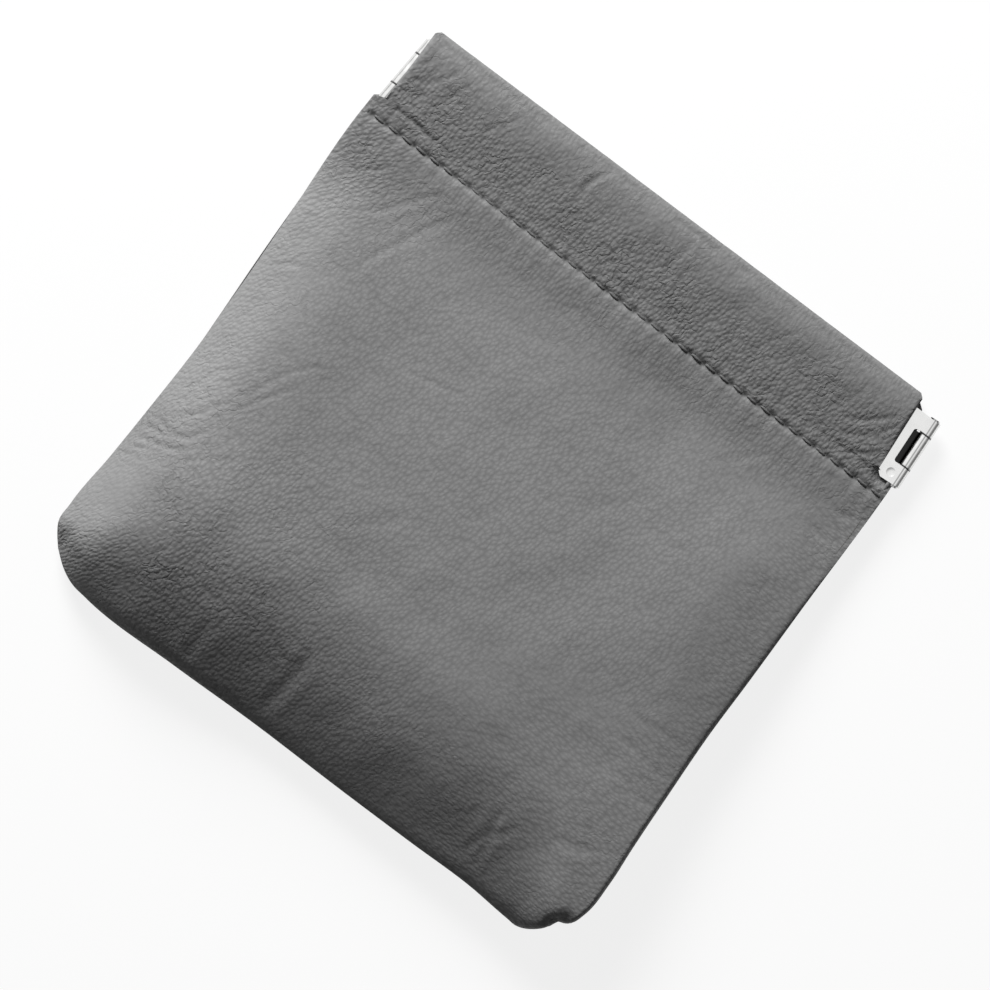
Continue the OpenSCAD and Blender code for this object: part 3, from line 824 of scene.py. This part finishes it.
def grainLeather():
    # drum-dyed soft nappa: small uneven pebbles with soft valleys, drawn out along the pull, a low sheen
    look = leatherLook
    material, tree = newMaterial("grained nappa leather")
    place = addNode(tree, "Attribute", attribute_name="flatPlace").outputs["Vector"]
    masks = {name: addNode(tree, "Attribute", attribute_name=name).outputs["Fac"]
             for name in ("slant", "across", "upright", "coarse", "paintedShade", "paintedLight", "wrinkled")}
    stray = addNode(tree, "TexNoise", {"Vector": place, "Scale": 1 / look["strayWidth"], "Detail": 2.0,
                                       "Roughness": 0.6}, noise_dimensions="2D")
    centred = addNode(tree, "VectorMath", {0: stray.outputs["Color"], 1: (0.5, 0.5, 0.5)},
                      operation="SUBTRACT")
    pulled = {name: pebbles(tree, place, centred, *pull) for name, pull in look["pull"].items()}
    mixed = pulled["even"]
    for name in ("slant", "across", "upright"):
        mixed = addNode(tree, "Mix", {0: masks[name], 2: mixed, 3: pulled[name]}, data_type="FLOAT")
    creases = looseCreases(tree, place, centred, masks["coarse"], masks["wrinkled"])
    pores = addNode(tree, "TexNoise", {"Vector": place, "Scale": 1 / look["poreWidth"], "Detail": 3.0,
                                       "Roughness": 0.6}, noise_dimensions="2D")
    # each layer times its depth
    depth = addNode(tree, "MapRange",
                    {"Value": masks["coarse"], "To Min": look["fineDepth"], "To Max": look["coarseDepth"]})
    height = addNode(tree, "Math", {0: mixed, 1: depth}, operation="MULTIPLY")
    for layer, layerDepth in ((creases, look["creaseDepth"]), (pores, look["poreDepth"])):
        height = addNode(tree, "Math", {0: layer, 1: layerDepth, 2: height}, operation="MULTIPLY_ADD")
    bump = addNode(tree, "Bump", {"Height": height, "Strength": 1.0, "Distance": mm})
    # the valleys and fine creases are darker, partly from dye caught there and partly painted shade; the dye
    # is a little uneven; painted light lies along the left edge, and painted shade in the stitch holes, the
    # corner's tuck and on the back's left edge
    tone = addNode(tree, "MapRange",
                   {"Value": mixed, "From Min": 0.45, "From Max": 1.05, "To Min": 0.35, "To Max": 0.8})
    tone = addNode(tree, "Math", {0: tone, 1: creases}, operation="MULTIPLY")
    cloud = addNode(tree, "TexNoise", {"Vector": place, "Scale": 1 / look["cloudWidth"], "Detail": 4.0,
                                       "Roughness": 0.6}, noise_dimensions="2D")
    amount = addNode(tree, "Math", {0: cloud, 1: 0.2, 2: tone}, operation="MULTIPLY_ADD")
    colour = hexColour(look["valley"])
    # the grain's tone, then the painted light along the left edge, then the painted shade
    for amount, name in ((amount, "grain"), (masks["paintedLight"], "paintedLight"), (masks["paintedShade"], "paintedShade")):
        colour = addNode(tree, "Mix", {0: amount, 6: colour, 7: hexColour(look[name])},
                         data_type="RGBA").outputs[2]
    rough = addNode(tree, "MapRange", {"Value": mixed, "From Min": 0.4, "From Max": 1.2,
                                       "To Min": look["roughness"] + 0.12,
                                       "To Max": look["roughness"] - 0.04})
    skin = addNode(tree, "BsdfPrincipled", {"Base Color": colour, "Roughness": rough, "Normal": bump,
                                            "Specular IOR Level": 0.25, "IOR": 1.5})
    addNode(tree, "OutputMaterial", {"Surface": skin})
    return material


def fibrous(name, place, pattern, tones, relief, surface, patch=None):
    # what is made of fine fibres: one soft noise sets its tone and its small bumps. patch is a wider noise
    # that makes the tone uneven, and relief is the bumps' strength and their depth in millimetres
    material, tree = newMaterial(name)
    kind, key, output = place
    where = addNode(tree, kind, **key).outputs[output]
    fibre = addNode(tree, "TexNoise", {"Vector": where, **pattern})
    amount = fibre
    if patch:
        broad = addNode(tree, "TexNoise", {"Vector": where, **patch})
        amount = addNode(tree, "Math", {0: fibre, 1: 0.7, 2: broad}, operation="MULTIPLY_ADD")
    low, high = [hexColour(tone) for tone in tones]
    colour = addNode(tree, "Mix", {0: amount, 6: low, 7: high}, data_type="RGBA").outputs[2]
    strength, depth = relief
    bump = addNode(tree, "Bump", {"Height": fibre, "Strength": strength, "Distance": depth * mm})
    skin = addNode(tree, "BsdfPrincipled", {"Base Color": colour, "Normal": bump, **surface})
    addNode(tree, "OutputMaterial", {"Surface": skin})
    return material


onSheet = ("Attribute", {"attribute_name": "flatPlace"}, "Vector")     # in millimetres
onPiece = ("TexCoord", {}, "Object")                                   # in metres


def fleshLeather():
    # the buffed flesh side: short matt nap, no grain
    return fibrous("buffed flesh side", onSheet,
                   {"Scale": 1 / leatherLook["napWidth"], "Detail": 6.0, "Roughness": 0.7},
                   leatherLook["flesh"], (0.8, 0.08),
                   {"Roughness": 0.93, "Specular IOR Level": 0.2, "Sheen Weight": 0.15,
                    "Sheen Roughness": 0.5},
                   {"Scale": 1 / leatherLook["napPatch"], "Detail": 2.0})


def cutLeather():
    # raw cut edge: fibrous and darker
    return fibrous("cut leather edge", onPiece,
                   {"Scale": 1 / (leatherLook["fibreWidth"] * mm), "Detail": 4.0},
                   leatherLook["cut"], (0.6, 0.06), {"Roughness": 0.85})


threadLook = {
    "tones": ("#3a3a3a", "#6a6a6a"),
    "fibreWidth": 0.2,       # real fibres are finer: as coarse as they need to be to show
}


def spunThread():
    # bonded polyester thread: matt, with its fibres as small uneven specks
    return fibrous("twisted polyester thread", onPiece,
                   {"Scale": 1 / (threadLook["fibreWidth"] * mm), "Detail": 3.0},
                   threadLook["tones"], (0.6, 0.03), {"Roughness": 0.72, "Specular IOR Level": 0.4})


nickelLook = {
    "low": "#dcdcdb",
    "high": "#f0f0ef",
    # painted shade on the knuckles' inner faces and in the gaps between them
    "paintedRecessShade": "#2b2b2b",
    "tongueMiddle": 0.275,   # of the middle knuckle, from the hinge's middle along the pin
    "tongueHalf": 2.55,
    "rim": 0.05,             # painted reflection: the grey line where the plate turns into its roll, inside the pin's middle
    "markWidth": 1.111,      # of the handling marks
    # the rolling and drawing lines are really finer, and these are as coarse as they need to be to show
    "stripLines": 0.2,
    "wireLines": 0.1429,
}


def offLine(tree, value, middle, low, high, least=0.0):
    # least on a thin line at middle, and 1 away from it
    beside = addNode(tree, "Math", {0: value, 1: middle * mm}, operation="SUBTRACT")
    away = addNode(tree, "Math", {0: beside}, operation="ABSOLUTE")
    return addNode(tree, "MapRange",
                   {"Value": away, "From Min": low * mm, "From Max": high * mm, "To Min": least},
                   interpolation_type="SMOOTHSTEP")


def knuckleShade(tree, place):
    # 1 on the outer faces; 0 on the inner faces and at the gaps between knuckles, which is painted shade; the
    # grey line along each roll is a painted reflection
    look = nickelLook
    axes = addNode(tree, "SeparateXYZ", {0: place})
    outside = offLine(tree, axes.outputs["Z"], mouthZ, 0.57, 0.8)
    along = addNode(tree, "Math", {0: axes.outputs["Y"], 1: (hingeY + look["tongueMiddle"]) * mm},
                    operation="SUBTRACT")
    fromMiddle = addNode(tree, "Math", {0: along}, operation="ABSOLUTE")
    offGap = offLine(tree, fromMiddle, look["tongueHalf"], 0.03, 0.2)
    outwards = addNode(tree, "Math", {0: axes.outputs["X"]}, operation="ABSOLUTE")
    leaning = addNode(tree, "Math", {0: along, 1: math.tan(lean), 2: outwards}, operation="MULTIPLY_ADD")
    plate = addNode(tree, "MapRange",
                    {"Value": leaning, "From Min": (hingeX - 1.1) * mm, "From Max": (hingeX - 0.9) * mm,
                     "To Min": 1.0, "To Max": 0.0})
    beyond = addNode(tree, "MapRange",
                     {"Value": leaning, "From Min": (hingeX + 0.1) * mm, "From Max": (hingeX + 0.5) * mm})
    exposed = addNode(tree, "Math", {0: outside, 1: beyond}, operation="MAXIMUM")
    offGap = addNode(tree, "Math", {0: plate, 1: offGap}, operation="MAXIMUM")
    offPaintedReflection = offLine(tree, leaning, hingeX - look["rim"], 0.04, 0.15, 0.45)
    unshaded = addNode(tree, "Math", {0: offGap, 1: offPaintedReflection}, operation="MULTIPLY")
    return addNode(tree, "Math", {0: exposed, 1: unshaded}, operation="MULTIPLY")


def nickelPlate(name, lineWidth, roughness):
    # bright nickel over rolled steel: near mirror, with faint lines from the rolling and a few handling
    # marks; painted shade in the hinge and a painted reflection line along each roll
    look = nickelLook
    material, tree = newMaterial(name)
    place = addNode(tree, "TexCoord").outputs["Object"]
    along = addNode(tree, "VectorMath", {0: place, 1: (0.06, 1, 1)}, operation="MULTIPLY")
    lines = addNode(tree, "TexNoise", {"Vector": along, "Scale": 1 / (lineWidth * mm), "Detail": 3.0})
    marks = addNode(tree, "TexNoise",
                    {"Vector": place, "Scale": 1 / (look["markWidth"] * mm), "Detail": 3.0})
    rough = addNode(tree, "MapRange", {"Value": marks, "From Min": 0.3, "From Max": 0.7,
                                       "To Min": roughness * 0.75, "To Max": roughness * 1.3})
    plating = addNode(tree, "Mix", {0: marks, 6: hexColour(look["low"]), 7: hexColour(look["high"])},
                      data_type="RGBA").outputs[2]
    # painted shade and the painted reflection line darken the plating
    colour = addNode(tree, "Mix", {0: knuckleShade(tree, place), 6: hexColour(look["paintedRecessShade"]),
                                   7: plating}, data_type="RGBA").outputs[2]
    bump = addNode(tree, "Bump", {"Height": lines, "Strength": 0.35, "Distance": 0.012 * mm})
    skin = addNode(tree, "BsdfPrincipled",
                   {"Base Color": colour, "Metallic": 1.0, "Roughness": rough, "Normal": bump})
    addNode(tree, "OutputMaterial", {"Surface": skin})
    return material


grained, flesh, cutEdge = grainLeather(), fleshLeather(), cutLeather()
thread = spunThread()
stripMetal = nickelPlate("nickel-plated spring steel", nickelLook["stripLines"], roughness=0.2)
pinMetal = nickelPlate("nickel-plated wire", nickelLook["wireLines"], roughness=0.26)
print("materials made")

frontLeather, frontCut = sheetPiece("front_leather", 1, [grained, flesh, cutEdge])
backLeather, backCut = sheetPiece("back_leather", -1, [grained, flesh, cutEdge])
print("leather sheets made:", len(frontLeather.data.polygons), "and", len(backLeather.data.polygons), "faces")


# what is sewn: closed runs of rings
def tubeFaces(start, rings, sides, flip=False):
    # the skin and both end caps of one run, whose first point is number start
    faces = [[start + k * sides + c, start + (k + 1) * sides + c,
              start + (k + 1) * sides + (c + 1) % sides, start + k * sides + (c + 1) % sides]
             for k in range(rings - 1) for c in range(sides)]
    last = start + (rings - 1) * sides
    faces += [list(range(start, start + sides)), list(range(last, last + sides))[::-1]]
    return [face[::-1] for face in faces] if flip else faces


def tubePiece(name, points, faces, material, smooth):
    mesh = bpy.data.meshes.new(name)
    mesh.from_pydata((points * mm).tolist(), [], faces)
    mesh.polygons.foreach_set("use_smooth", np.full(len(faces), smooth))
    return pieceFrom(name, mesh, [material])


# seam allowances: the two edges, sewn and turned to the inside
allowance = {
    "width": 3.3,
    "wander": 0.12,          # of the cut edge
    "spacing": 1.1,          # between sections along the seam
    # section of one edge: share of the width, share of the thickness
    "section": [(0, 0.04), (0.35, 0.04), (0.9, 0.04), (1, 0.15), (1, 0.87), (0.9, 1), (0.35, 1), (0, 1)],
}


def seamPlace(sign, rows):
    # x of the fold that turns into the seam, and height of the seam's middle
    left, right = sideEdges(rows)
    return (left if sign < 0 else right) - sign * leather["seamFold"], seamHeight(rows, (sign + 1) / 2)


def seamAllowance(name, sign):
    rows = spread(leather["cornerY"] + 4.5, hemY - 0.6, allowance["spacing"])
    edge, seam = seamPlace(sign, rows)
    along = np.stack([rows, rows * 0 + sign, rows * 0], 1)
    width = allowance["width"] + allowance["wander"] * noiseAt(along, 6)
    thick, section = leather["seamThickness"], allowance["section"]
    points, faces = [], []
    for part in (1, -1):
        faces += tubeFaces(len(points), len(rows), len(section), sign * part > 0)
        points += [(edge[k] - sign * width[k] * across, y, seam[k] + part * thick * up)
                   for k, y in enumerate(rows) for across, up in section]
    points = np.array(points)
    piece = tubePiece(name, points, faces, flesh, False)
    followFrame(piece, followWeights(points[:, 0], points[:, 1], 1, np.full(len(points), 0.5)))
    setAttribute(piece.data, "flatPlace", "FLOAT_VECTOR", points)
    return piece


leftSeam, rightSeam = seamAllowance("left_seam_allowance", -1), seamAllowance("right_seam_allowance", 1)


# sewing thread: each stitch is a short two-ply arc that dives into its holes
threadShape = {
    "diameter": 0.4,
    "length": 1.8,
    "slant": 8,              # degrees
    "arch": 0.08,
    "dive": 0.34,            # how deep its ends go
    "turns": 2.6,            # half turns of one ply round the other
    "rings": 19,
    "sides": 12,
}


def stitchRings(middle, tangent, normal):
    # rings of a two-ply section, turning along the stitch
    s = threadShape
    side = np.cross(tangent, normal)
    rings = []
    for k, t in enumerate(np.linspace(-1, 1, s["rings"])):
        share = k / (s["rings"] - 1)
        centre = middle + tangent * s["length"] / 2 * t
        centre = centre + normal * (s["arch"] * (1 - t * t) - s["dive"] * abs(t) ** 5)
        size = s["diameter"] / 2 * (0.72 + 0.28 * math.sin(math.pi * share) ** 0.5)
        for c in range(s["sides"]):
            a = 2 * math.pi * c / s["sides"]
            ply = 0.86 + 0.16 * abs(math.cos(a - math.pi * s["turns"] * share))
            rings.append(centre + size * ply * (math.cos(a) * side + math.sin(a) * normal))
    return rings


def stitchRow(name, places):
    # places are (middle, tangent, normal) in millimetres
    points, faces = [], []
    for place in places:
        faces += tubeFaces(len(points), threadShape["rings"], threadShape["sides"])
        points += stitchRings(*place)
    points = np.array(points)
    return tubePiece(name, points, faces, thread, True), points


# the hem ends a little before the hinges
hemLow, hemHigh = boxOf("front_channel_left_end")[0][0] + 2.5, boxOf("front_channel_right_end")[1][0] - 4.0
innerBend, outerBend = int(bendIn / leather["pitch"]), int(bendOut / leather["pitch"])
rowStops = [-leather["stitches"] - 1, -outerBend - 1, -innerBend - 1,
            innerBend, outerBend, leather["stitches"]]


def mouthStitches(index, side):
    # the stitches between two bends, outside and on the hem inside
    slant = math.radians(threadShape["slant"])
    tangent = np.array([math.cos(slant), -math.sin(slant), 0.0])
    outside = mouthZ + side * (channelProfile(stitchY, side) - leather["grooveDepth"] * 0.6)
    inside = mouthZ + side * (leather["hemLift"] + 0.06)
    places = []
    for k in range(rowStops[index] + 1, rowStops[index + 1] + 1):
        x = k * leather["pitch"]
        places.append((np.array([x, stitchY, outside]), tangent, np.array([0, 0, float(side)])))
        if hemLow < x < hemHigh:
            # pressed flat, so its normal is short
            inwards = np.array([0, 0, -0.4 * side])
            places.append((np.array([x, stitchY, inside]), tangent * (1, -1, 1), inwards))
    return places


for side, own in ((1, "front"), (-1, "back")):
    for index, place in enumerate(segments):
        piece, points = stitchRow(f"{own}_stitches_{place}", mouthStitches(index, side))
        left, right = sideEdges(points[:, 1])
        share = sharedAtSeam(np.minimum(points[:, 0] - left, right - points[:, 0]), points[:, 1])
        share = share * (np.abs(points[:, 2] - mouthZ) > 0.5)
        followFrame(piece, followWeights(points[:, 0], points[:, 1], side, share))
        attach(piece, "root" if (own, place) == ("back", "middle") else f"{own}_{place}")
        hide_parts(f"{own}_stitching_{place}")

for sign, own in ((-1, "left"), (1, "right")):
    rows = np.arange(26) * leather["pitch"] + leather["cornerY"] + 6.2
    edge, seam = seamPlace(sign, rows)
    height = seam + leather["seamThickness"] - 0.04
    places = [(np.array(point), np.array([0, 1.0, 0]), np.array([0, 0, 1.0]))
              for point in zip(edge - sign * 0.8, rows, height)]
    piece, points = stitchRow(f"{own}_seam_stitches", places)
    followFrame(piece, followWeights(points[:, 0], points[:, 1], 1, np.full(len(points), 0.5)))
    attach(piece, "root")
    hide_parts(f"{own}_seam_thread")
print("stitches made")

# metal: the frame's own strips and pins
for name, node in frame["nodes"].items():
    if "strip" in name or "pin" in name:
        node.data.materials.clear()
        node.data.materials.append(pinMetal if "pin" in name else stripMetal)
        rounding = node.modifiers.new("rolled edges", "BEVEL")
        rounding.width = 0.05 * mm
        rounding.segments = 2
        rounding.limit_method = "ANGLE"
        rounding.angle_limit = math.radians(40)

# which body carries each soft piece
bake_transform(frontLeather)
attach(backLeather, "root")
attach(leftSeam, "root")
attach(rightSeam, "root")
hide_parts("front_panel", *[f"front_channel_{s}" for s in segments])
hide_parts("back_panel", *[f"back_channel_{s}" for s in segments])
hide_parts("left_side_seam")
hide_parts("right_side_seam")
for name, cut in (("front", frontCut), ("back", backCut)):
    print(name, "leather, flat:", round(cut[0] / mm, 1), "x", round(cut[1] / mm, 1), "mm")
print("pieces tied to the frame")


# floor, light and camera
studio = {
    "roll": 36.95,               # the purse lies turned on the table
    "lookAt": (1.0, -0.6),
    "viewWidth": 133.2,
    "lens": 150,
    "sensor": 36.0,
    "keyFrom": (-0.62, 0.62, 0.44),
    "keyDistance": 0.8,
    "keySize": 0.36,
    "keyPower": 12.3,
    "fill": 0.085,
    "skyHigh": (-0.33, 0.33, 0.88),      # where the pale part of the surroundings is
    "floorHalf": 3.0,
    "card": "#9a9a9a",                   # the floor's tone in the light that it throws back
    "cardSeen": "#fdfdfd",
    "cardGlow": 0.84,                    # share of its own light, so that it looks white
}


def makeFloor():
    s = studio["floorHalf"]
    mesh = bpy.data.meshes.new("floor")
    mesh.from_pydata([(-s, -s, 0), (s, -s, 0), (s, s, 0), (-s, s, 0)], [], [(0, 1, 2, 3)])
    material, tree = newMaterial("matt white card")
    path = addNode(tree, "LightPath").outputs
    seen = addNode(tree, "Math", {0: path["Is Camera Ray"], 1: path["Is Glossy Ray"]},
                   operation="MAXIMUM")
    colour = addNode(tree, "Mix", {0: seen, 6: hexColour(studio["card"]),
                                   7: hexColour(studio["cardSeen"])}, data_type="RGBA").outputs[2]
    card = addNode(tree, "BsdfPrincipled",
                   {"Base Color": colour, "Roughness": 0.9, "Specular IOR Level": 0.0})
    glow = addNode(tree, "Emission", {"Color": hexColour("#ffffff"), "Strength": 1.0})
    part = addNode(tree, "Math", {0: seen, 1: studio["cardGlow"]}, operation="MULTIPLY")
    both = addNode(tree, "MixShader", {0: part, 1: card, 2: glow})
    addNode(tree, "OutputMaterial", {"Surface": both})
    floor = pieceFrom("floor", mesh, [material])
    floor.location.z = -0.02 * mm


def makeLight():
    direction = Vector(studio["keyFrom"]).normalized()
    data = bpy.data.lights.new("key softbox", "AREA")
    data.shape, data.size = "SQUARE", studio["keySize"]
    data.energy = studio["keyPower"]
    light = bpy.data.objects.new("key softbox", data)
    light.location = direction * studio["keyDistance"]
    light.rotation_euler = direction.to_track_quat("Z", "Y").to_euler()
    bpy.context.scene.collection.objects.link(light)


def makeSurroundings():
    # white to the camera; in gloss a pale ceiling over darker walls; a dim even fill for the rest
    world = bpy.data.worlds.new("studio")
    bpy.context.scene.world = world
    world.use_nodes = True
    tree = world.node_tree
    tree.nodes.clear()
    path = addNode(tree, "LightPath").outputs
    direction = addNode(tree, "TexCoord").outputs["Generated"]
    towards = addNode(tree, "VectorMath", {0: direction, 1: studio["skyHigh"]},
                      operation="DOT_PRODUCT").outputs["Value"]
    ceiling = addNode(tree, "MapRange",
                      {"Value": towards, "From Min": 0.25, "From Max": 0.8, "To Min": 0.2},
                      interpolation_type="SMOOTHSTEP")
    gloss = addNode(tree, "Mix", {0: path["Is Glossy Ray"], 2: studio["fill"], 3: ceiling},
                    data_type="FLOAT")
    level = addNode(tree, "Mix", {0: path["Is Camera Ray"], 2: gloss, 3: 1.0}, data_type="FLOAT")
    sky = addNode(tree, "Background", {"Color": hexColour("#ffffff"), "Strength": level})
    addNode(tree, "OutputWorld", {"Surface": sky})


def makeCamera():
    data = bpy.data.cameras.new("camera")
    data.lens, data.sensor_width = studio["lens"], studio["sensor"]
    data.clip_start, data.clip_end = 0.01, 10
    camera = bpy.data.objects.new("camera", data)
    distance = studio["viewWidth"] * mm * studio["lens"] / studio["sensor"]
    x, y = studio["lookAt"]
    camera.location = (x * mm, y * mm, distance + 5 * mm)
    camera.rotation_euler = (0, 0, math.radians(studio["roll"]))
    bpy.context.scene.collection.objects.link(camera)
    bpy.context.scene.camera = camera


makeFloor()
makeLight()
makeSurroundings()
makeCamera()
bpy.context.scene.view_settings.view_transform = "Standard"
print("stage set")
